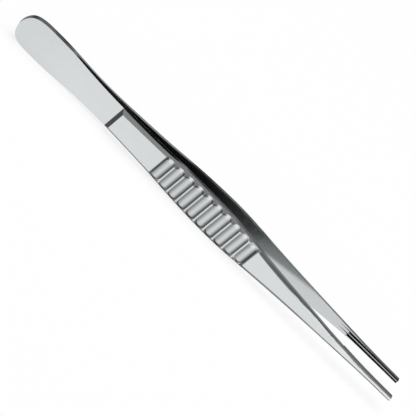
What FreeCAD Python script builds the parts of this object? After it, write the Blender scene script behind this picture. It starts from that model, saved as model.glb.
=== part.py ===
"""Tissue forceps, 150 mm long, with fine-toothed jaws in one row against two.

Two steel blades lie face to face and are welded at the heel, where they are
plain spring plates. Towards the tips each blade thickens into a thumb rest, a
row of crosswise ribs and a tapering front, and ends in a narrow toothed jaw.

The forceps lies on the long edges of its blades. X runs from the heel to the
tips, Y is the direction in which the blades spring open, and Z is up. The
origin is on the surface that the forceps lies on, below the middle of its
length. All sizes are in millimetres.

A blade is drawn with its heel at x = 0 and its inner face towards y = 0, and
its width is centred on z = 0. It is moved into place at the end.
"""
import FreeCAD
import Part
import math
import os

from FreeCAD import Vector

# Overall
LENGTH = 150.0
HEEL_NOSE_RADIUS = 6.0
HEEL_NOSE_ANGLE = 35.0
TIP_ROUNDING = 0.35

# Places of the cross-sections, from the end of the heel
HEEL_X = 8.4
WELD_END_X = 16.0
SPRING_X = 22.0
WAIST_X = 37.2
REST_END_X = 55.4
GRIP_X = 78.0
FRONT_X = 92.65
TAPER_X = 103.0
NECK_X = 118.0
JAW_X = 129.8
JAW_MIDDLE_SHARE = 0.38

# Width of a blade at its inner face, from edge to edge
HEEL_WIDTH = 10.8
WELD_END_WIDTH = 10.45
SPRING_WIDTH = 9.8
WAIST_WIDTH = 8.75
REST_END_WIDTH = 9.4
GRIP_WIDTH = 10.75
FRONT_WIDTH = 8.5
TAPER_WIDTH = 6.45
NECK_WIDTH = 4.25
JAW_WIDTH = 2.55
JAW_MIDDLE_WIDTH = 1.75
TIP_WIDTH = 1.4

# Space from the middle plane to the inner face; the blades touch along the weld
WELD_GAP = 0.0
SPRING_GAP = 0.05
WAIST_GAP = 0.42
REST_END_GAP = 1.35
GRIP_GAP = 2.34
FRONT_GAP = 3.12
TAPER_GAP = 3.5
NECK_GAP = 3.95
JAW_GAP = 4.35
JAW_MIDDLE_GAP = 4.42
TIP_GAP = 4.4

# Thickness of a blade at its side edges
HEEL_WALL = 0.93
SPRING_WALL = 0.96
WAIST_WALL = 1.1
REST_END_WALL = 1.1
GRIP_WALL = 1.05
FRONT_WALL = 1.0
TAPER_WALL = 0.98
NECK_WALL = 0.92
JAW_WALL = 0.95
JAW_MIDDLE_WALL = 1.0
TIP_WALL = 0.96

# Lean of the side edges of the waist, in degrees; they narrow outwards
WAIST_DRAFT = 9.0
REST_END_DRAFT = 5.0

# Height of the bevel between the side edge and the outer face
WAIST_BEVEL_RISE = 1.28
REST_END_BEVEL_RISE = 0.88
GRIP_BEVEL_RISE = 0.62
FRONT_BEVEL_RISE = 0.48
TAPER_BEVEL_RISE = 0.5
NECK_BEVEL_RISE = 0.38
JAW_BEVEL_RISE = 0.36
JAW_MIDDLE_BEVEL_RISE = 0.34
TIP_BEVEL_RISE = 0.3

# Width of that bevel
WAIST_BEVEL_RUN = 1.1
REST_END_BEVEL_RUN = 0.88
GRIP_BEVEL_RUN = 0.95
FRONT_BEVEL_RUN = 0.9
TAPER_BEVEL_RUN = 0.91
NECK_BEVEL_RUN = 0.78
JAW_BEVEL_RUN = 0.62
JAW_MIDDLE_BEVEL_RUN = 0.52
TIP_BEVEL_RUN = 0.42

# Crown of the bevel, as a share: 0 is flat, 0.41 is a quarter round
GRIP_CROWN = 0.06
TAPER_CROWN = 0.1
NECK_CROWN = 0.2
JAW_CROWN = 0.24

# Length of the slope from the spring plate up to the thumb rest
STEP_RUN = 1.1

# Crosswise ribs, with domed ends that stop short of the side edges
RIB_COUNT = 10
RIB_GROOVE_WIDTH = 0.42
RIB_GROOVE_DEPTH = 0.34
RIB_HEIGHT = 0.44
RIB_SIDE_INSET = 0.35

# Toothed rows of the jaws
TOOTH_PITCH = 0.42
TOOTH_DEPTH = 0.22
ROW_WIDTH = 0.55
ROW_HEIGHT = 0.3
ROW_RUN_IN = 4.2
SHOULDER_RUN_IN = 0.5
CHANNEL_WIDTH = 0.5
SHOULDER_HEIGHT = 0.36
ROW_CLEARANCE = 0.05

# Overlap of fused pieces, and how far cutting bodies reach past the blade
SINK = 0.2
REACH = 3.0
BEVEL_OVERRUN = 0.35


class Section:
    """Half of a blade's cross-section at one place along its length."""

    def __init__(self, x, width, gap, wall, draft=0.0, rise=0.0, run=0.0, crown=0.0):
        self.x = x
        self.half_width = width / 2
        self.inner = gap
        self.lean = math.tan(math.radians(draft))
        self.edge = gap + wall
        self.half_foot = self.half_width_at(self.edge)
        self.outer = self.edge + rise
        self.half_face = self.half_foot - run
        self.crown = crown

    def half_width_at(self, level):
        """Distance of the side edge from the middle, at a level across the blade."""
        return self.half_width + (self.inner - level) * self.lean


WELD_END = Section(WELD_END_X, WELD_END_WIDTH, WELD_GAP, HEEL_WALL)
SPRING = Section(SPRING_X, SPRING_WIDTH, SPRING_GAP, SPRING_WALL, WAIST_DRAFT)
WAIST = Section(WAIST_X, WAIST_WIDTH, WAIST_GAP, WAIST_WALL, WAIST_DRAFT,
                WAIST_BEVEL_RISE, WAIST_BEVEL_RUN, GRIP_CROWN)
REST_END = Section(REST_END_X, REST_END_WIDTH, REST_END_GAP, REST_END_WALL, REST_END_DRAFT,
                   REST_END_BEVEL_RISE, REST_END_BEVEL_RUN, GRIP_CROWN)
GRIP = Section(GRIP_X, GRIP_WIDTH, GRIP_GAP, GRIP_WALL, 0.0,
               GRIP_BEVEL_RISE, GRIP_BEVEL_RUN, GRIP_CROWN)
FRONT = Section(FRONT_X, FRONT_WIDTH, FRONT_GAP, FRONT_WALL, 0.0,
                FRONT_BEVEL_RISE, FRONT_BEVEL_RUN, GRIP_CROWN)
TAPER = Section(TAPER_X, TAPER_WIDTH, TAPER_GAP, TAPER_WALL, 0.0,
                TAPER_BEVEL_RISE, TAPER_BEVEL_RUN, TAPER_CROWN)
NECK = Section(NECK_X, NECK_WIDTH, NECK_GAP, NECK_WALL, 0.0,
               NECK_BEVEL_RISE, NECK_BEVEL_RUN, NECK_CROWN)
JAW = Section(JAW_X, JAW_WIDTH, JAW_GAP, JAW_WALL, 0.0,
              JAW_BEVEL_RISE, JAW_BEVEL_RUN, JAW_CROWN)
JAW_MIDDLE = Section(JAW_X + JAW_MIDDLE_SHARE * (LENGTH - JAW_X),
                     JAW_MIDDLE_WIDTH, JAW_MIDDLE_GAP, JAW_MIDDLE_WALL, 0.0,
                     JAW_MIDDLE_BEVEL_RISE, JAW_MIDDLE_BEVEL_RUN, JAW_CROWN)
TIP = Section(LENGTH, TIP_WIDTH, TIP_GAP, TIP_WALL, 0.0,
              TIP_BEVEL_RISE, TIP_BEVEL_RUN, JAW_CROWN)
PLATE_SECTIONS = [WELD_END, SPRING]
FORGED_SECTIONS = [WAIST, REST_END, GRIP, FRONT, TAPER, NECK, JAW, JAW_MIDDLE, TIP]

RIB_PITCH = (FRONT_X - REST_END_X) / RIB_COUNT
NOSE_ANGLE = math.radians(HEEL_NOSE_ANGLE)


def curve_through(points, start, end):
    """Smooth curve through points along X, with its directions at both ends."""
    curve = Part.BSplineCurve()
    curve.interpolate(Points=points, Parameters=[point.x for point in points],
                      InitialTangent=start, FinalTangent=end)
    return curve


def parameter_at(curve, x):
    """Parameter at which a curve that runs along X passes a place."""
    low = curve.FirstParameter
    high = curve.LastParameter
    for _ in range(50):
        middle = (low + high) / 2
        if curve.value(middle).x < x:
            low = middle
        else:
            high = middle
    return (low + high) / 2


def point_at(curve, x):
    """Point of a curve that runs along X."""
    return curve.value(parameter_at(curve, x))


def stretch(curve, x_start, x_end):
    """Edge that follows a curve from one place along X to another."""
    return Part.Edge(curve, parameter_at(curve, x_start), parameter_at(curve, x_end))


def segment(start, end):
    """Straight edge."""
    return Part.LineSegment(start, end).toShape()


def face_of(edges):
    """Flat face inside edges that form one loop, in any order."""
    return Part.Face(Part.Wire(Part.__sortEdges__(edges)))


def both_sides(shape):
    """A shape and its mirror image about the middle of the blade's width."""
    return [shape, shape.mirror(Vector(0, 0, 0), Vector(0, 0, 1))]


def inner_curve():
    """Inner face in side view, from the end of the weld to the tip."""
    points = [Vector(section.x, section.inner, 0)
              for section in PLATE_SECTIONS + FORGED_SECTIONS]
    slope = (TIP.inner - JAW_MIDDLE.inner) / (TIP.x - JAW_MIDDLE.x)
    return curve_through(points, Vector(1, 0, 0), Vector(1, slope, 0))


def outer_curve():
    """Outer face in side view, from above the foot of the step to the tip."""
    points = [Vector(section.x, section.outer, 0) for section in FORGED_SECTIONS]
    start_slope = (REST_END.outer - WAIST.outer) / (REST_END.x - WAIST.x)
    end_slope = (TIP.outer - JAW_MIDDLE.outer) / (TIP.x - JAW_MIDDLE.x)
    return curve_through(points, Vector(1, start_slope, 0), Vector(1, end_slope, 0))


def spring_curve(inner):
    """Outer face of the spring plate in side view, from the weld to the step."""
    points = [Vector(section.x, section.edge, 0) for section in PLATE_SECTIONS + [WAIST]]
    end_direction = inner.tangent(parameter_at(inner, WAIST.x))[0]
    return curve_through(points, Vector(1, 0, 0), end_direction)


def side_profile(inner, outer):
    """Blade in side view, with the step and the lowered floor between ribs."""
    heel_inner = Vector(0, WELD_END.inner, 0)
    heel_outer = Vector(0, WELD_END.edge, 0)
    weld_inner = Vector(WELD_END.x, WELD_END.inner, 0)
    weld_outer = Vector(WELD_END.x, WELD_END.edge, 0)
    step_foot = Vector(WAIST.x, WAIST.edge, 0)
    step_top = point_at(outer, WAIST.x + STEP_RUN)
    rest_end = point_at(outer, REST_END.x)
    front_start = point_at(outer, FRONT.x)
    drop = Vector(0, -RIB_GROOVE_DEPTH, 0)
    floor = stretch(outer, REST_END.x, FRONT.x)
    floor.translate(drop)
    return face_of([
        segment(heel_inner, weld_inner),
        inner.toShape(),
        segment(Vector(TIP.x, TIP.inner, 0), Vector(TIP.x, TIP.outer, 0)),
        stretch(outer, FRONT.x, TIP.x),
        segment(front_start, front_start + drop),
        floor,
        segment(rest_end + drop, rest_end),
        stretch(outer, step_top.x, REST_END.x),
        segment(step_foot, step_top),
        spring_curve(inner).toShape(),
        segment(heel_outer, weld_outer),
        segment(heel_inner, heel_outer),
    ])


def edge_curves(level):
    """Side edge in plan at a level: from the heel to the widest rib, and on to the tip."""
    sections = PLATE_SECTIONS + FORGED_SECTIONS
    widest = sections.index(GRIP)
    rear = [Vector(HEEL_X, level, HEEL_WIDTH / 2)]
    rear += [Vector(section.x, level, section.half_width_at(level))
             for section in sections[:widest + 1]]
    front = [Vector(section.x, level, section.half_width) for section in sections[widest:-1]]
    front.append(Vector(TIP.x - TIP_ROUNDING, level, TIP.half_width))
    forward = Vector(1, 0, 0)
    return curve_through(rear, forward, forward), curve_through(front, forward, forward)


def heel_edges(level):
    """Half of the heel's round end in plan, up to its widest place."""
    nose, middle, end = [
        Vector(0, level, 0) + HEEL_NOSE_RADIUS * Vector(1 - math.cos(turn), 0, math.sin(turn))
        for turn in (0, NOSE_ANGLE / 2, NOSE_ANGLE)]
    nose_direction = Vector(math.sin(NOSE_ANGLE), 0, math.cos(NOSE_ANGLE))
    widest = Vector(HEEL_X, level, HEEL_WIDTH / 2)
    shoulder = curve_through([end, widest], nose_direction, Vector(1, 0, 0))
    return [Part.Arc(nose, middle, end).toShape(), shoulder.toShape()]


def tip_edge(level):
    """Quarter round at one corner of the tip in plan."""
    centre = Vector(TIP.x - TIP_ROUNDING, level, TIP.half_width - TIP_ROUNDING)
    start, middle, end = [centre + TIP_ROUNDING * Vector(math.cos(turn), 0, math.sin(turn))
                          for turn in (math.pi / 2, math.pi / 4, 0)]
    return Part.Arc(start, middle, end).toShape()


def plan_outline(level):
    """Blade in plan at a level: round heel, waist, wide grip and narrow jaw."""
    rear, front = edge_curves(level)
    upper = heel_edges(level) + [rear.toShape(), front.toShape(), tip_edge(level)]
    lower = [both_sides(piece)[1] for piece in reversed(upper)]
    corner = TIP.half_width - TIP_ROUNDING
    end = segment(Vector(TIP.x, level, corner), Vector(TIP.x, level, -corner))
    return Part.Wire(upper + [end] + lower)


def plan_body():
    """Body with the blade's outline in plan and leaning side edges."""
    outlines = [plan_outline(level) for level in (-REACH, TIP.outer + REACH)]
    return Part.makeLoft(outlines, True, True)


def bevel_points(section, x):
    """Points across the bevel: past the outer face, three on it, past the side edge."""
    top = Vector(x, section.outer, section.half_face)
    foot = Vector(x, section.edge, section.half_foot)
    corner = Vector(x, section.outer, section.half_foot)
    chord_middle = (top + foot) / 2
    crest = chord_middle + (corner - chord_middle) * section.crown
    arc = Part.Arc(top, crest, foot)
    over = top - arc.tangent(arc.FirstParameter)[0] * BEVEL_OVERRUN
    outside = foot + arc.tangent(arc.LastParameter)[0] * BEVEL_OVERRUN
    return [over, top, crest, foot, outside]


def bevel_cutters():
    """Bodies that cut the bevels along both edges of the outer face."""
    rows = [bevel_points(section, section.x) for section in FORGED_SECTIONS]
    rows.append(bevel_points(TIP, TIP.x + REACH))
    rails = [curve_through(list(rail), rail[1] - rail[0], Vector(1, 0, 0))
             for rail in zip(*rows)]
    surface = Part.makeLoft([Part.Wire(rail.toShape()) for rail in rails], False, False)
    return both_sides(surface.Faces[0].extrude(Vector(0, REACH, REACH)))


def rib(crest, reach):
    """A crosswise rib: a low rounded bar with domed ends.

    The crest is the middle of its top, and it reaches that far to each side.
    """
    half_width = (RIB_PITCH - RIB_GROOVE_WIDTH) / 2
    radius = (half_width ** 2 + RIB_HEIGHT ** 2) / (2 * RIB_HEIGHT)
    bar = reach - half_width
    depth = RIB_HEIGHT + WAIST_BEVEL_RISE
    along = Vector(0, 0, 1)
    up = Vector(0, 1, 0)
    axis = crest - radius * up
    foot = crest - depth * up
    dome = Part.makeCylinder(radius, 2 * bar, axis - bar * along, along)
    blank = Part.makeBox(2 * half_width, depth + REACH, 2 * bar,
                         foot - Vector(half_width, 0, bar))
    for end in (-bar, bar):
        dome = dome.fuse(Part.makeSphere(radius, axis + end * along))
        blank = blank.fuse(Part.makeCylinder(half_width, depth + REACH, foot + end * along, up))
    return blank.common(dome).removeSplitter()


def ribs(outer):
    """All ribs of a blade, each nearly as long as the blade is wide there."""
    made = []
    rear, front = edge_curves(GRIP.edge)
    for index in range(RIB_COUNT):
        x = REST_END_X + (index + 0.5) * RIB_PITCH
        edge = rear if x < GRIP.x else front
        crest_level = point_at(outer, x).y - RIB_GROOVE_DEPTH + RIB_HEIGHT
        made.append(rib(Vector(x, crest_level, 0), point_at(edge, x).z - RIB_SIDE_INSET))
    return made


def jaw_bar(inner, height, run_in, width, z):
    """Plain bar that rises from the inner face and runs along the jaw."""
    raised = stretch(inner, JAW.x, TIP.x)
    raised.translate(Vector(0, -height, 0))
    start = point_at(inner, JAW.x - run_in)
    sink = Vector(0, SINK, 0)
    outline = face_of([
        segment(start, raised.Vertexes[0].Point),
        raised,
        segment(raised.Vertexes[-1].Point, point_at(inner, TIP.x) + sink),
        segment(point_at(inner, TIP.x) + sink, start + sink),
        segment(start + sink, start),
    ])
    outline.translate(Vector(0, 0, z - width / 2))
    return outline.extrude(Vector(0, 0, width))


def toothed_row(inner, base_height, run_in, width, z):
    """Row of crosswise teeth on the jaw, with crests above a base height."""
    height = base_height + ROW_HEIGHT
    row = jaw_bar(inner, height, run_in, width, z)
    count = round((TIP.x - JAW.x) / TOOTH_PITCH)
    pitch = (TIP.x - JAW.x) / count
    notches = [Vector(JAW.x, JAW.inner - height - REACH, 0)]
    for index in range(count):
        root_x = JAW.x + index * pitch
        crest_x = root_x + pitch / 2
        notches.append(Vector(root_x, point_at(inner, root_x).y - height + TOOTH_DEPTH, 0))
        notches.append(Vector(crest_x, point_at(inner, crest_x).y - height, 0))
    notches.append(Vector(TIP.x, TIP.inner - height + TOOTH_DEPTH, 0))
    notches.append(Vector(TIP.x, TIP.inner - height - REACH, 0))
    waste = Part.Face(Part.makePolygon(notches + notches[:1]))
    waste.translate(Vector(0, 0, z - width))
    return row.cut(waste.extrude(Vector(0, 0, 2 * width)))


def two_row_jaw(inner):
    """Two toothed rows with a plain channel between them."""
    offset = (CHANNEL_WIDTH + ROW_WIDTH) / 2
    return [toothed_row(inner, 0, ROW_RUN_IN, ROW_WIDTH, side * offset) for side in (-1, 1)]


def single_row_jaw(inner):
    """One toothed row that fits the channel, on a raised shoulder."""
    shoulder = jaw_bar(inner, SHOULDER_HEIGHT, SHOULDER_RUN_IN, JAW_WIDTH + REACH, 0)
    row_width = CHANNEL_WIDTH - 2 * ROW_CLEARANCE
    row = toothed_row(inner, SHOULDER_HEIGHT, SHOULDER_RUN_IN, row_width, 0)
    return [shoulder, row]


def blade(jaw_pieces):
    """One blade with the pieces of its jaw, beside the middle plane."""
    inner = inner_curve()
    outer = outer_curve()
    half_space = max(HEEL_WIDTH, GRIP_WIDTH) / 2 + REACH
    profile = side_profile(inner, outer)
    profile.translate(Vector(0, 0, -half_space))
    body = profile.extrude(Vector(0, 0, 2 * half_space)).fuse(jaw_pieces(inner))
    body = body.common(plan_body())
    body = body.cut(bevel_cutters()).fuse(ribs(outer))
    return body.removeSplitter()


def in_place(shape):
    """Moves a blade so that the forceps lies on z = 0, centred along X."""
    shape.translate(Vector(-LENGTH / 2, 0, HEEL_WIDTH / 2))
    return shape.Solids[0]


def main():
    """Writes the two blades."""
    os.makedirs("parts", exist_ok=True)
    far = in_place(blade(two_row_jaw))
    near = in_place(blade(single_row_jaw).mirror(Vector(0, 0, 0), Vector(0, 1, 0)))
    for name, shape in (("two_row_blade", far), ("single_row_blade", near)):
        print(name, shape.isValid(), round(shape.Volume, 2), shape.BoundBox)
        shape.exportStep("parts/" + name + ".step")


main()
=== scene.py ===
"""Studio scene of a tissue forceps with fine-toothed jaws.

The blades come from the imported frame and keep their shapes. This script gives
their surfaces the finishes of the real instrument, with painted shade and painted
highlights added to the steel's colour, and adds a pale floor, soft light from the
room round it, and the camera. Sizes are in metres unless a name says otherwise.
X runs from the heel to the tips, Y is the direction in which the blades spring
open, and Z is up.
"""

from __future__ import annotations

import logging
import math
from dataclasses import dataclass, field
from enum import Enum

import bpy
from mathutils import Matrix, Vector


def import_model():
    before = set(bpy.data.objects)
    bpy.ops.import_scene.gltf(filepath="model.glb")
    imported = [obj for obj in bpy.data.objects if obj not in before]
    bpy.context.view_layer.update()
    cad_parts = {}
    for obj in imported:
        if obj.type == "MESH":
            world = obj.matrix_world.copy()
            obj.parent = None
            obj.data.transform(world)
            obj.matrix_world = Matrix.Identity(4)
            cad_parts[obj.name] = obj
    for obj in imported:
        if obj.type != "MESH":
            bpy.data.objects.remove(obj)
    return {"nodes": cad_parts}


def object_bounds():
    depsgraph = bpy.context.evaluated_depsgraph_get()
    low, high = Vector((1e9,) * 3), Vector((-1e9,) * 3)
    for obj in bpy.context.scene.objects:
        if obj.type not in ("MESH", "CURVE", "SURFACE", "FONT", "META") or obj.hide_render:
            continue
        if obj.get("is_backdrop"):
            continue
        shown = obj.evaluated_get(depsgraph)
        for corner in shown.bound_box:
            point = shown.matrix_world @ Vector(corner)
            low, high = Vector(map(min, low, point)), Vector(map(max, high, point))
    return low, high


LOG = logging.getLogger("forceps")
MM = 0.001
PICTURE_WIDTH = 416
BEVEL_SAMPLES = 8
NOISE_MIDDLE = 0.5


class BladeName(Enum):
    """The two blades of the forceps, by their nodes in the frame."""

    TWO_ROW = "two_row_blade"
    SINGLE_ROW = "single_row_blade"


class Socket:
    """A shader socket that takes part in Python expressions.

    Attributes:
        graph: The graph that holds the socket's node.
        link: The output socket that is wrapped.
    """

    def __init__(self, graph: Graph, link: bpy.types.NodeSocket) -> None:
        """Wraps an output socket of one of the graph's nodes."""
        self.graph = graph
        self.link = link

    def _math(self, operation: str, *values: Value) -> Socket:
        """Adds a Math node on the given values."""
        return self.graph.add("ShaderNodeMath", {"operation": operation}, *values)

    def __add__(self, other: Value) -> Socket:
        """The sum of this value and another."""
        return self._math("ADD", self, other)

    def __sub__(self, other: Value) -> Socket:
        """This value less another."""
        return self._math("SUBTRACT", self, other)

    def __rsub__(self, other: Value) -> Socket:
        """Another value less this one."""
        return self._math("SUBTRACT", other, self)

    def __mul__(self, other: Value) -> Socket:
        """The product of this value and another."""
        return self._math("MULTIPLY", self, other)

    def __truediv__(self, other: Value) -> Socket:
        """This value divided by another."""
        return self._math("DIVIDE", self, other)

    __radd__ = __add__
    __rmul__ = __mul__

    def absolute(self) -> Socket:
        """The value without its sign."""
        return self._math("ABSOLUTE", self)

    def larger(self, other: Value) -> Socket:
        """The larger of two values."""
        return self._math("MAXIMUM", self, other)

    def angle_from(self, other: Value) -> Socket:
        """The angle whose tangent is this value over another."""
        return self._math("ARCTAN2", self, other)

    def to_and_fro(self, reach: float) -> Socket:
        """A value that runs to and fro between 0 and a reach, as this one grows."""
        return self._math("PINGPONG", self, reach)

    def leaving(self, left: Value) -> Socket:
        """A factor that is 1 outside this mask and a given brightness inside it."""
        return 1.0 - self * (1.0 - left)


Value = Socket | float | tuple


class Graph:
    """The node graph of a material or of the world.

    Attributes:
        tree: The node tree that the nodes go into.
    """

    def __init__(self, tree: bpy.types.NodeTree) -> None:
        """Takes over a node tree, which is emptied."""
        self.tree = tree
        tree.nodes.clear()

    def node(self, kind: str, settings: dict, *values: Value | None) -> bpy.types.Node:
        """Adds a node, with its settings first and then its inputs in order.

        Args:
            kind: The node's Blender type.
            settings: Attributes to set on the node; "stops" fills a colour ramp.
            values: Constants or sockets for the inputs; None leaves one as it is.

        Returns:
            The node.
        """
        node = self.tree.nodes.new(kind)
        for name, value in settings.items():
            if name == "stops":
                self._fill_ramp(node.color_ramp, value)
            else:
                setattr(node, name, value)
        for socket, value in zip(node.inputs, values):
            self.feed(socket, value)
        return node

    def add(self, kind: str, settings: dict, *values: Value | None) -> Socket:
        """Adds a node as node() does, and returns its first output."""
        return Socket(self, self.node(kind, settings, *values).outputs[0])

    def split(self, vector: Socket) -> tuple[Socket, Socket, Socket]:
        """The three parts of a vector."""
        node = self.node("ShaderNodeSeparateXYZ", {}, vector)
        return tuple(Socket(self, output) for output in node.outputs)

    def feed(self, socket: bpy.types.NodeSocket, value: Value | None) -> None:
        """Links or sets one input.

        Args:
            socket: The input.
            value: A socket to link, a constant to set, or None to do nothing.
        """
        if isinstance(value, Socket):
            self.tree.links.new(value.link, socket)
        elif value is not None:
            socket.default_value = value

    def shader(self, kind: str, inputs: dict[str, Value]) -> Socket:
        """Adds a shader node with inputs given by name.

        Args:
            kind: The node's Blender type.
            inputs: Constants or sockets by the name of the input.

        Returns:
            The shader's output.
        """
        node = self.node(kind, {})
        for name, value in inputs.items():
            self.feed(node.inputs[name], value)
        return Socket(self, node.outputs[0])

    @staticmethod
    def _fill_ramp(ramp: bpy.types.ColorRamp, stops: list[tuple[float, float]]) -> None:
        """Gives a ramp grey stops.

        Args:
            ramp: The ramp.
            stops: Pairs of place and brightness.
        """
        while len(ramp.elements) < len(stops):
            ramp.elements.new(1.0)
        for element, (place, grey) in zip(ramp.elements, stops):
            element.position = place
            element.color = (grey, grey, grey, 1.0)


@dataclass(frozen=True)
class Fade:
    """A mask's smooth rise between two values.

    Attributes:
        start: Value at which the mask is 0.
        end: Value at which the mask is 1; it may be below the start.
    """

    start: float
    end: float

    def of(self, value: Socket) -> Socket:
        """The mask over a socket's value.

        Args:
            value: The value that the mask follows.

        Returns:
            The mask.
        """
        low, high = min(self.start, self.end), max(self.start, self.end)
        settings = {"interpolation_type": "SMOOTHSTEP"}
        mask = value.graph.add("ShaderNodeMapRange", settings, value, low, high)
        return mask if self.start < self.end else 1.0 - mask


@dataclass(frozen=True)
class Grain:
    """A noise texture.

    Attributes:
        scale: Waves per unit of the place.
        detail: Number of finer layers.
    """

    scale: float
    detail: float

    def of(self, place: Socket) -> Socket:
        """The noise over a place, around its middle value."""
        return place.graph.add("ShaderNodeTexNoise", {}, place, None, self.scale, self.detail)

    def around_zero(self, place: Socket) -> Socket:
        """The noise over a place, less its middle value."""
        return self.of(place) - NOISE_MIDDLE


@dataclass(frozen=True)
class BladeLayout:
    """Places on a blade that the finishes keep to.

    Attributes:
        nose: Stretch along X over which the heel's round nose ends.
        heel: Stretch along X over which the plate passes into the darker heel.
        ribs_start: Where the thumb rest ends and the ribs begin.
        ribs_end: Where the ribs end and the tapering front begins.
        rib_border: Length over which the ribs' brushing and painted shade come in.
        rib_count: Number of ribs.
        front_border: Length over which the front's painted shade comes in.
        jaw_start: Where the toothed rows begin.
        jaw_border: Length over which the jaws' painted shade and painted highlight come in.
        middle_height: Height of the middle of the blades' width.
    """

    nose: Fade = Fade(-66.0 * MM, -62.0 * MM)
    heel: Fade = Fade(-50.0 * MM, -72.0 * MM)
    ribs_start: float = -19.6 * MM
    ribs_end: float = 17.65 * MM
    rib_border: float = 0.3 * MM
    rib_count: int = 10
    front_border: float = 1.0 * MM
    jaw_start: float = 54.8 * MM
    jaw_border: float = 5.0 * MM
    middle_height: float = 5.4 * MM


class Surface:
    """Where a point of a blade lies and which way it faces, as sockets and masks.

    Attributes:
        far_side: Stretch across the middle over which the far blade begins.
        outer_side: Product of the place and the turn across the blades over
            which a face counts as an outer one.
        broadside_turn: Turn upwards over which a face stops being broadside.
        narrow_turn: Turn upwards over which a face becomes an upper narrow edge.
        place: The point, in the frame's axes.
        x: The point's place along the blades.
        off_middle: Its distance from the middle, across the blades.
        above: Its height above the middle of the blades' width.
        facing_x: Turn of the face towards the tips.
        facing_z: Turn of the face upwards.
        wide: Normal that a wide bevel gives, which turns beside an edge.
        far: Mask of the far blade.
        outward: Mask of the outer faces.
        broadside: Mask of the faces that don't turn upwards.
        narrow: Mask of the upper narrow edges.
        past_nose: Mask of all but the heel's round nose.
        on_heel: Mask of the heel.
        on_front: Mask of the front and the jaws.
        on_jaw: Mask of the jaws.
        on_ribs: Mask of the outer faces between the thumb rest and the front.
    """

    far_side = Fade(-0.1 * MM, 0.1 * MM)
    outer_side = Fade(-0.01 * MM, 0.01 * MM)
    broadside_turn = Fade(0.35, 0.25)
    narrow_turn = Fade(0.9, 0.97)

    def __init__(self, graph: Graph, layout: BladeLayout, reach: float) -> None:
        """Adds the nodes that tell where a point is.

        Args:
            graph: The material's graph.
            layout: Places on a blade.
            reach: Radius of the wide bevel.
        """
        source = graph.node("ShaderNodeTexCoord", {})
        self.place = Socket(graph, source.outputs["Object"])
        self.x, across, height = graph.split(self.place)
        self.off_middle = across.absolute()
        self.above = height - layout.middle_height
        facing = Socket(graph, source.outputs["Normal"])
        self.facing_x, facing_y, self.facing_z = graph.split(facing)
        self.wide = graph.add("ShaderNodeBevel", {"samples": BEVEL_SAMPLES}, reach)
        self.far = self.far_side.of(across)
        self.outward = self.outer_side.of(across * facing_y)
        self.broadside = self.broadside_turn.of(self.facing_z)
        self.narrow = self.narrow_turn.of(self.facing_z)
        self.past_nose = layout.nose.of(self.x)
        self.on_heel = layout.heel.of(self.x)
        self.on_front = Fade(layout.ribs_end, layout.ribs_end + layout.front_border).of(self.x)
        self.on_jaw = Fade(layout.jaw_start - layout.jaw_border, layout.jaw_start).of(self.x)
        self.on_ribs = (Fade(layout.ribs_start, layout.ribs_start + layout.rib_border).of(self.x)
                        * Fade(layout.ribs_end, layout.ribs_end - layout.rib_border).of(self.x)
                        * self.outward)


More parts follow.
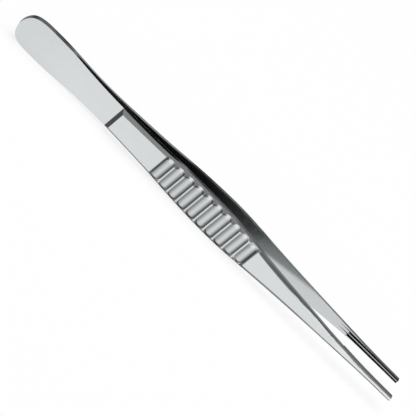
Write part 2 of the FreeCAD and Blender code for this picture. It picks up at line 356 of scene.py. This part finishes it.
@dataclass(frozen=True)
class TurnedFacesPaintedShade:
    """Painted shade on the faces that turn away, a darker heel and a painted highlight on the jaws'
    backs.

    Attributes:
        layout: Places that the finish keeps to.
        ahead: Turn towards the tips over which a face goes dark.
        behind: Turn towards the heel over which a face goes dark.
        step_left: Brightness that is left on the step.
        nose_turn: Turn towards the heel over which the nose goes dark.
        nose_left: Brightness that is left on the nose.
        heel_left: Brightness that is left on the heel.
        line: Distance from the middle of a dark line at the ribs' ends, over
            which it fades.
        rest_shift: Way from the end of the thumb rest to its dark line.
        front_shift: Way from the start of the front back to its dark line.
        line_left: Brightness that is left on the two lines.
        under_turn: Turn downwards over which a lower bevel goes dark.
        underside: Turn downwards past which a face is no bevel.
        under_left: Brightness that is left on the lower bevels.
        front_under_gain: What the front's lower bevels keep beyond that.
        slope_turn: Turn upwards over which the front's upper bevel goes dark.
        topside: Turn upwards past which a face is no bevel.
        slope_left: Brightness that is left on the front's upper bevels.
        jaw_edge_left: Brightness that is left on the jaws' upper narrow edges.
        jaw_turn: Turn upwards over which the painted highlight on the jaws' backs ends.
        jaw_gain: Gain of the painted highlight on the jaws' backs, as a factor.
    """

    layout: BladeLayout
    ahead: Fade = Fade(0.12, 0.5)
    behind: Fade = Fade(-0.22, -0.52)
    step_left: float = 0.1
    nose_turn: Fade = Fade(-0.3, -0.6)
    nose_left: float = 0.2
    heel_left: float = 0.94
    line: Fade = Fade(0.4 * MM, 0.3 * MM)
    rest_shift: float = 0.15 * MM
    front_shift: float = 0.3 * MM
    line_left: float = 0.25
    under_turn: Fade = Fade(-0.2, -0.4)
    underside: Fade = Fade(-0.95, -0.85)
    under_left: float = 0.05
    front_under_gain: float = 0.25
    slope_turn: Fade = Fade(0.36, 0.44)
    topside: Fade = Fade(0.92, 0.85)
    slope_left: float = 0.42
    jaw_edge_left: float = 0.6
    jaw_turn: Fade = Fade(0.45, 0.35)
    jaw_gain: float = 1.1

    def on(self, surface: Surface) -> Socket:
        """Painted shade on what turns away, a darker heel and a painted highlight on the jaws'
        backs.

        Args:
            surface: Where a point lies and which way it faces.

        Returns:
            The brightness, as a factor.
        """
        # Painted shade on the jaws' upright edges and a painted highlight on their backs.
        return (self._along(surface) * self._across(surface)
                * (surface.narrow * surface.on_jaw).leaving(self.jaw_edge_left)
                * (self.jaw_turn.of(surface.facing_z) * surface.outward
                   * surface.on_jaw).leaving(self.jaw_gain))

    def _along(self, surface: Surface) -> Socket:
        """Painted shade on what turns along the blade: the nose, the step and two dark lines; and
        the darker heel.

        Args:
            surface: Where a point lies and which way it faces.

        Returns:
            The brightness.
        """
        turned = self.ahead.of(surface.facing_x).larger(self.behind.of(surface.facing_x))
        steps = turned * surface.past_nose * (1.0 - surface.on_ribs)
        nose = self.nose_turn.of(surface.facing_x) * (1.0 - surface.past_nose)
        rest_line = surface.x - (self.layout.ribs_start + self.rest_shift)
        front_line = surface.x - (self.layout.ribs_end - self.front_shift)
        lines = self.line.of(rest_line.absolute()).larger(self.line.of(front_line.absolute()))
        # Painted shade on the step, the nose and two lines, and a darker heel.
        return (steps.leaving(self.step_left)
                * nose.leaving(self.nose_left)
                * surface.on_heel.leaving(self.heel_left)
                * (lines * surface.broadside * surface.outward).leaving(self.line_left))

    def _across(self, surface: Surface) -> Socket:
        """Painted shade on what turns across the blade: the lower and upper bevels.

        Args:
            surface: Where a point lies and which way it faces.

        Returns:
            The brightness.
        """
        on_front = surface.on_front * (1.0 - surface.on_jaw)
        under = self.under_turn.of(surface.facing_z) * self.underside.of(surface.facing_z)
        slopes = self.slope_turn.of(surface.facing_z) * self.topside.of(surface.facing_z)
        under_left = self.under_left + on_front * self.front_under_gain
        # Painted shade on the lower bevels and on the front's upper bevels.
        return ((under * surface.outward).leaving(under_left)
                * (slopes * on_front * surface.outward).leaving(self.slope_left))


@dataclass(frozen=True)
class BrushedRibsPaintedShadeAndHighlight:
    """Brushed finish of the ribs, with painted shade on their flanks, between their ends and along
    the lower rim, and a painted highlight on their upper ends.

    Attributes:
        layout: Places that the finish keeps to.
        brightness: Brightness of the crests.
        brush_scale: Waves of the brushed lines per metre, along each axis.
        brush_grain: Noise of the brushed lines.
        brush_depth: Change of brightness between the lines.
        ahead: Turn towards the tips over which a flank goes dark.
        behind: Turn towards the heel over which a flank goes dark.
        flank_left: Brightness that is left on the flanks.
        dome_start: Turn upwards over which the painted highlight on the upper ends begins.
        dome_end: Turn upwards over which that painted highlight ends.
        dome_gain: Gain of brightness in the painted highlight.
        groove_reach: Half the width of a groove's floor.
        groove_edge: Softness of the floor's edge.
        end_spread: How far outside the floor the shade between the ribs' ends
            begins.
        end_inset: How far inside the floor that shade is full.
        slope_height: Height above the middle at which the grooves end on the
            upper bevel, halfway along the blades.
        slope_rise: Gain of that height along the ribs, per length.
        foot_height: Depth below the middle at which the ribs' lower ends begin.
        end_border: Height over which the shade at the ends comes in.
        end_left: Brightness that is left between the ribs' ends.
        rim: Downward turn of the wide bevel over which the lower rim goes dark.
        rim_left: Brightness that is left on the lower rim.
    """

    layout: BladeLayout
    brightness: float = 0.9
    brush_scale: tuple[float, float, float] = (9.0 / MM, 9.0 / MM, 0.7 / MM)
    brush_grain: Grain = Grain(1.0, 2.0)
    brush_depth: float = 0.25
    ahead: Fade = Fade(0.0, 0.4)
    behind: Fade = Fade(-0.05, -0.6)
    flank_left: float = 0.12
    dome_start: Fade = Fade(0.1, 0.22)
    dome_end: Fade = Fade(0.55, 0.45)
    dome_gain: float = 0.12
    groove_reach: float = 0.24 * MM
    groove_edge: float = 0.08 * MM
    end_spread: float = 0.1 * MM
    end_inset: float = 0.05 * MM
    slope_height: float = 3.3 * MM
    slope_rise: float = 0.024
    foot_height: float = 3.4 * MM
    end_border: float = 0.15 * MM
    end_left: float = 0.3
    rim: Fade = Fade(-0.15, -0.45)
    rim_left: float = 0.35

    def on(self, surface: Surface) -> Socket:
        """Brightness of the ribs and the grooves, painted shade and painted highlight included.

        Args:
            surface: Where a point lies and which way it faces.

        Returns:
            The brightness, which is 1 off the ribs.
        """
        flanks = self.ahead.of(surface.facing_x).larger(self.behind.of(surface.facing_x))
        _, _, tilt = surface.wide.graph.split(surface.wide)
        # Painted shade on the flanks, between the ribs' ends and along the lower rim.
        ribbed = (self._brushed(surface) * flanks.leaving(self.flank_left)
                  * self._ends(surface) * self.rim.of(tilt).leaving(self.rim_left))
        return 1.0 + surface.on_ribs * (ribbed - 1.0)

    def _brushed(self, surface: Surface) -> Socket:
        """Brightness of the brushed crests and of the painted highlight on their upper ends.

        Args:
            surface: Where a point lies and which way it faces.

        Returns:
            The brightness.
        """
        stretched = surface.place.graph.add(
            "ShaderNodeVectorMath", {"operation": "MULTIPLY"}, surface.place, self.brush_scale)
        lines = self.brush_grain.around_zero(stretched)
        # Painted highlight on the ribs' upper ends.
        domes = self.dome_start.of(surface.facing_z) * self.dome_end.of(surface.facing_z)
        return self.brightness + lines * self.brush_depth + domes * self.dome_gain

    def _ends(self, surface: Surface) -> Socket:
        """Painted shade between the ribs' ends, above and below the grooves.

        Args:
            surface: Where a point lies and which way it faces.

        Returns:
            The brightness.
        """
        layout = self.layout
        pitch = (layout.ribs_end - layout.ribs_start) / layout.rib_count
        off_groove = (surface.x - layout.ribs_start).to_and_fro(pitch / 2)
        slope = surface.above - surface.x * self.slope_rise
        over = (slope - self.slope_height).larger(0.0)
        below = (surface.above * -1.0 - self.foot_height).larger(0.0)
        outline = Fade(self.groove_reach + self.end_spread, self.groove_reach - self.end_inset)
        between = outline.of(off_groove - over - below)
        floor = Fade(self.groove_reach + self.groove_edge, self.groove_reach).of(off_groove)
        border = Fade(0.0, self.end_border)
        upper = between * border.of(over) * surface.broadside
        lower = (between - floor).larger(0.0) * border.of(below)
        return upper.leaving(self.end_left) * lower.leaving(self.end_left)


@dataclass(frozen=True)
class InnerFacesPaintedShade:
    """Painted shade on the inner faces, which is deeper towards the heel.

    Attributes:
        slant: Way along the blade that the shade's border gains per height.
        border: Stretch along X over which the shade ends, at the middle height.
        closed: Stretch along X over which the shade comes to cover the full width.
        deep_end: Place along X up to which the shade is deepest.
        deep_left: Brightness that is left there.
        deep_gain: Gain of that brightness towards the tips, per metre.
        open_left: Brightness of the faces in front of the shade.
    """

    slant: float = 8.0
    border: Fade = Fade(26.0 * MM, 14.0 * MM)
    closed: Fade = Fade(20.0 * MM, 13.0 * MM)
    deep_end: float = -5.0 * MM
    deep_left: float = 0.15
    deep_gain: float = 0.0105 / MM
    open_left: float = 0.87

    def on(self, surface: Surface) -> Socket:
        """Brightness of the inner faces, with their painted shade.

        Args:
            surface: Where a point lies and which way it faces.

        Returns:
            The brightness, which is 1 on the outer faces.
        """
        # Painted shade on the inner faces, deepest towards the heel.
        shade = self.border.of(surface.x - surface.above * self.slant)
        shade = shade.larger(self.closed.of(surface.x))
        deep = ((surface.x - self.deep_end) * self.deep_gain).larger(0.0) + self.deep_left
        left = self.open_left + shade * (deep - self.open_left)
        return (1.0 - surface.outward).leaving(left)


@dataclass(frozen=True)
class ToothedRowsPaintedShade:
    """Painted shade on the toothed rows and in the channel between the two rows.

    Attributes:
        layout: Places that the finish keeps to.
        start_border: Length over which the rows' shade comes in.
        two_row_level: Level of the two rows' foot, off the middle.
        single_row_level: Level of the single row's foot, off the middle.
        foot: Distance outwards from a row's foot over which its shade fades.
        row_left: Brightness that is left on the rows.
        channel: Distance from the middle height over which the channel ends.
        channel_left: Brightness that is left in the channel.
    """

    layout: BladeLayout
    start_border: float = 0.5 * MM
    two_row_level: float = 4.34 * MM
    single_row_level: float = 4.0 * MM
    foot: Fade = Fade(0.005 * MM, -0.005 * MM)
    row_left: float = 0.02
    channel: Fade = Fade(0.3 * MM, 0.25 * MM)
    channel_left: float = 0.7

    def on(self, surface: Surface) -> Socket:
        """Brightness of the teeth and the channel, with their painted shade.

        Args:
            surface: Where a point lies and which way it faces.

        Returns:
            The brightness, which is 1 off the jaws.
        """
        start = self.layout.jaw_start
        toothed = Fade(start - self.start_border, start).of(surface.x)
        level = self.single_row_level + surface.far * (self.two_row_level - self.single_row_level)
        # Painted shade on the toothed rows and in the channel.
        rows = toothed * self.foot.of(surface.off_middle - level)
        channel = self.channel.of(surface.above.absolute())
        channel = channel * toothed * surface.far * (1.0 - surface.outward)
        return rows.leaving(self.row_left) * channel.leaving(self.channel_left)


@dataclass(frozen=True)
class EdgeWearAndHighlight:
    """Steel lighter beside the edges, partly from rubbing and partly as a painted highlight.

    Attributes:
        reach: Reach of the lighter band on both sides of an edge.
        turn: Loss of likeness between the wide bevel and the face over which the band shows.
        gain: Gain of brightness in the band, partly from rubbing and partly painted highlight.
    """

    reach: float = 0.3 * MM
    turn: Fade = Fade(0.005, 0.08)
    gain: float = 0.1

    def on(self, surface: Surface) -> Socket:
        """Brightness of the steel beside the edges, partly rubbing and partly painted highlight.

        Args:
            surface: Where a point lies and which way it faces.

        Returns:
            The brightness, which is 1 away from the edges.
        """
        graph = surface.wide.graph
        geometry = graph.node("ShaderNodeNewGeometry", {})
        face = Socket(graph, geometry.outputs["Normal"])
        likeness = graph.node("ShaderNodeVectorMath", {"operation": "DOT_PRODUCT"},
                              surface.wide, face)
        # Lighter band beside the edges: partly from rubbing, partly a painted highlight.
        worn_and_highlighted = self.turn.of(1.0 - Socket(graph, likeness.outputs["Value"]))
        return 1.0 + worn_and_highlighted * self.gain


@dataclass(frozen=True)
class SteelFinishWithPaintedLight:
    """Satin stainless steel with brushed ribs, painted shade in the recesses and on faces that turn
    away, painted highlights, and edges lighter partly from rubbing and partly as a painted
    highlight.

    Attributes:
        layout: Places that the finishes keep to.
        tint: Reflected colour of the steel.
        satin: Roughness of the outer faces.
        polish: Roughness of the inner faces in front.
        matt: Roughness of the inner faces between the ribs.
        opening: Stretch along X over which the inner faces pass from matt to polish.
        edge_polish: Roughness of the upper narrow edges.
        grain: Noise of the satin.
        grain_height: Height of the satin grain.
        edge_radius: Radius of the broken edges.
        mottle: Noise of the faint unevenness.
        mottle_depth: Change of brightness by the unevenness.
        edge_wear_and_highlight: Edges lighter partly from rubbing and partly as a painted highlight.
    """

    layout: BladeLayout = field(default_factory=BladeLayout)
    tint: tuple[float, float, float] = (0.7, 0.728, 0.735)
    satin: float = 0.3
    polish: float = 0.2
    matt: float = 0.42
    opening: Fade = Fade(8.0 * MM, 24.0 * MM)
    edge_polish: float = 0.1
    grain: Grain = Grain(9.0 / MM, 3.0)
    grain_height: float = 0.0012 * MM
    edge_radius: float = 0.06 * MM
    mottle: Grain = Grain(0.6 / MM, 2.0)
    mottle_depth: float = 0.04
    edge_wear_and_highlight: EdgeWearAndHighlight = field(default_factory=EdgeWearAndHighlight)

    def build(self, name: str) -> bpy.types.Material:
        """Makes the material.

        Args:
            name: The material's name.

        Returns:
            The material.
        """
        material = bpy.data.materials.new(name)
        material.use_nodes = True
        graph = Graph(material.node_tree)
        surface = Surface(graph, self.layout, self.edge_wear_and_highlight.reach)
        colour = graph.add("ShaderNodeVectorMath", {"operation": "SCALE"},
                           self.tint, None, None, self._brightness(surface))
        edges = graph.add("ShaderNodeBevel", {"samples": BEVEL_SAMPLES}, self.edge_radius)
        bump = graph.add("ShaderNodeBump", {}, 1.0, self.grain_height, None,
                         self.grain.of(surface.place), edges)
        steel = graph.shader("ShaderNodeBsdfPrincipled", {
            "Base Color": colour,
            "Metallic": 1.0,
            "Roughness": self._roughness(surface),
            "Normal": bump,
        })
        output = graph.node("ShaderNodeOutputMaterial", {})
        graph.feed(output.inputs["Surface"], steel)
        return material

    def _brightness(self, surface: Surface) -> Socket:
        """Brightness that the painted shade, painted highlights, brushing, edges and unevenness
        leave together.

        Args:
            surface: Where a point lies and which way it faces.

        Returns:
            The brightness, as a factor on the tint.
        """
        uneven = 1.0 + self.mottle.around_zero(surface.place) * self.mottle_depth
        # Painted shade and painted highlights multiply into the steel's colour here.
        return (TurnedFacesPaintedShade(self.layout).on(surface) * BrushedRibsPaintedShadeAndHighlight(self.layout).on(surface)
                * InnerFacesPaintedShade().on(surface) * ToothedRowsPaintedShade(self.layout).on(surface)
                * self.edge_wear_and_highlight.on(surface) * uneven)

    def _roughness(self, surface: Surface) -> Socket:
        """Satin outside, matt to polished inside and smoothest on the upper narrow edges.

        Args:
            surface: Where a point lies and which way it faces.

        Returns:
            The roughness.
        """
        inner = self.matt - self.opening.of(surface.x) * (self.matt - self.polish)
        faces = inner + surface.outward * (self.satin - inner)
        return faces + surface.narrow * (self.edge_polish - faces)


@dataclass
class Forceps:
    """The welded pair of blades.

    Attributes:
        finish: Finish of both blades, painted shade and highlights included.
    """

    finish: SteelFinishWithPaintedLight = field(default_factory=SteelFinishWithPaintedLight)

    def dress(self, nodes: dict[str, bpy.types.Object]) -> None:
        """Gives both blades their finish, painted shade and highlights included.

        Args:
            nodes: The frame's objects by node name.
        """
        # The material carries the painted shade and painted highlights.
        steel = self.finish.build("satin_steel")
        for blade in BladeName:
            mesh = nodes[blade.value].data
            mesh.materials.clear()
            mesh.materials.append(steel)
            LOG.info("blade %s dressed, %d faces", blade.value, len(mesh.polygons))


@dataclass
class Studio:
    """Pale floor and soft light.

    Attributes:
        floor_size: Width of the square floor.
        floor_tone: Brightness of the floor's paint.
        floor_glow: Share of the floor that shows as plain white.
        lamp_power: Power of the soft lamp, in watts.
        lamp_size: Diameter of the lamp.
        lamp_height: Height of the lamp over the floor.
        room: Brightness of the room round the blades, as pairs of a place and a
            grey; place 0 is the horizon in front, 0.5 overhead, 1 the horizon behind.
        room_strength: Gain on the room's brightness.
    """

    floor_size: float = 12.0
    floor_tone: float = 0.93
    floor_glow: float = 0.82
    lamp_power: float = 16.0
    lamp_size: float = 1.4
    lamp_height: float = 1.2
    room: tuple[tuple[float, float], ...] = (
        (0.0, 1.0), (0.085, 1.0), (0.12, 0.1), (0.17, 0.14), (0.3, 0.26),
        (0.45, 0.22), (0.62, 0.01), (0.795, 0.005), (0.822, 0.23), (0.94, 0.25), (1.0, 0.5),
    )
    room_strength: float = 1.3

    def build(self) -> None:
        """Makes the floor, the lamp and the world."""
        self._floor()
        self._lamp()
        self._world()

    def _floor(self) -> None:
        """Makes the floor at the height that the forceps lies on."""
        bpy.ops.mesh.primitive_plane_add(size=self.floor_size)
        floor = bpy.context.object
        floor.name = "floor"
        material = bpy.data.materials.new("floor_paint")
        material.use_nodes = True
        graph = Graph(material.node_tree)
        rays = graph.node("ShaderNodeLightPath", {})
        seen = Socket(graph, rays.outputs["Is Camera Ray"])
        seen = seen.larger(Socket(graph, rays.outputs["Is Glossy Ray"]))
        seen = seen.larger(Socket(graph, rays.outputs["Is Transmission Ray"]))
        paint = graph.shader("ShaderNodeBsdfDiffuse", {"Color": (self.floor_tone,) * 3 + (1.0,)})
        white = graph.shader("ShaderNodeEmission", {"Color": (1.0, 1.0, 1.0, 1.0), "Strength": 1.0})
        mixed = graph.add("ShaderNodeMixShader", {}, seen * self.floor_glow, paint, white)
        output = graph.node("ShaderNodeOutputMaterial", {})
        graph.feed(output.inputs["Surface"], mixed)
        floor.data.materials.append(material)
        floor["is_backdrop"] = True
        LOG.info("floor placed")

    def _lamp(self) -> None:
        """Hangs a wide soft lamp over the forceps."""
        data = bpy.data.lights.new("soft_lamp", "AREA")
        data.shape = "DISK"
        data.size = self.lamp_size
        data.energy = self.lamp_power
        lamp = bpy.data.objects.new("soft_lamp", data)
        lamp.location = (0.0, 0.0, self.lamp_height)
        lamp.visible_glossy = False
        bpy.context.collection.objects.link(lamp)
        LOG.info("lamp placed")

    def _world(self) -> None:
        """Lights the forceps from a room that is bright low down and dim above."""
        world = bpy.data.worlds.new("room")
        world.use_nodes = True
        bpy.context.scene.world = world
        graph = Graph(world.node_tree)
        _, side, up = graph.split(graph.add("ShaderNodeTexCoord", {}))
        turn = up.angle_from(side * -1.0) / math.pi
        grey = graph.add("ShaderNodeValToRGB", {"stops": list(self.room)}, turn)
        light = graph.shader("ShaderNodeBackground", {"Color": grey, "Strength": self.room_strength})
        output = graph.node("ShaderNodeOutputWorld", {})
        graph.feed(output.inputs["Surface"], light)
        LOG.info("room placed")


@dataclass
class Viewpoint:
    """The photograph's camera, worked out from the outlines of both blades.

    Attributes:
        middle: Middle of the forceps.
        aim_along: Way from the middle to the aim, along the blades.
        aim_down: Way from the middle down to the aim, across the view.
        elevation: Angle at which it looks down across the blades.
        lead: Angle by which it stands towards the heel.
        roll: Turn that lays the blades along the picture's diagonal.
        distance: Distance to the aim.
        pixels_per_mm: Size of a millimetre at the aim, in the picture.
        sensor_mm: Width of the sensor, in millimetres.
        near_limit: Distance from which things are seen.
    """

    middle: Vector
    aim_along: float = -0.38 * MM
    aim_down: float = 0.467 * MM
    elevation: float = math.radians(31.0)
    lead: float = math.radians(10.21)
    roll: float = math.radians(45.0 - 0.338)
    distance: float = 1.0
    pixels_per_mm: float = 3.554
    sensor_mm: float = 36.0
    near_limit: float = 0.01

    def build(self) -> None:
        """Makes the camera and gives it to the scene."""
        along = math.cos(self.lead)
        towards = Vector((
            -math.sin(self.lead),
            -math.cos(self.elevation) * along,
            math.sin(self.elevation) * along,
        ))
        across = Vector((0.0, math.sin(self.elevation), math.cos(self.elevation)))
        forward = across.cross(towards)
        turn = Matrix.Rotation(self.roll, 3, towards)
        right = turn @ forward
        up = turn @ across
        rotation = Matrix((right, up, towards)).transposed().to_4x4()
        aim = self.middle + Vector((self.aim_along, 0.0, 0.0)) - across * self.aim_down
        data = bpy.data.cameras.new("camera")
        data.sensor_width = self.sensor_mm
        data.lens = self.sensor_mm * self.pixels_per_mm * self.distance / MM / PICTURE_WIDTH
        data.clip_start = self.near_limit
        camera = bpy.data.objects.new("camera", data)
        camera.matrix_world = Matrix.Translation(aim + towards * self.distance) @ rotation
        bpy.context.collection.objects.link(camera)
        bpy.context.scene.camera = camera
        LOG.info("camera placed")


def main() -> None:
    """Loads the frame, dresses the forceps and sets the stage."""
    logging.basicConfig(level=logging.INFO, format="%(name)s: %(message)s")
    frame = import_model()
    cad_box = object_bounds()
    low, high = [Vector(corner) for corner in cad_box]
    Viewpoint(middle=(low + high) / 2).build()
    Forceps().dress(frame["nodes"])
    Studio().build()
    bpy.context.scene.view_settings.view_transform = "Standard"


if __name__ == "__main__":
    main()
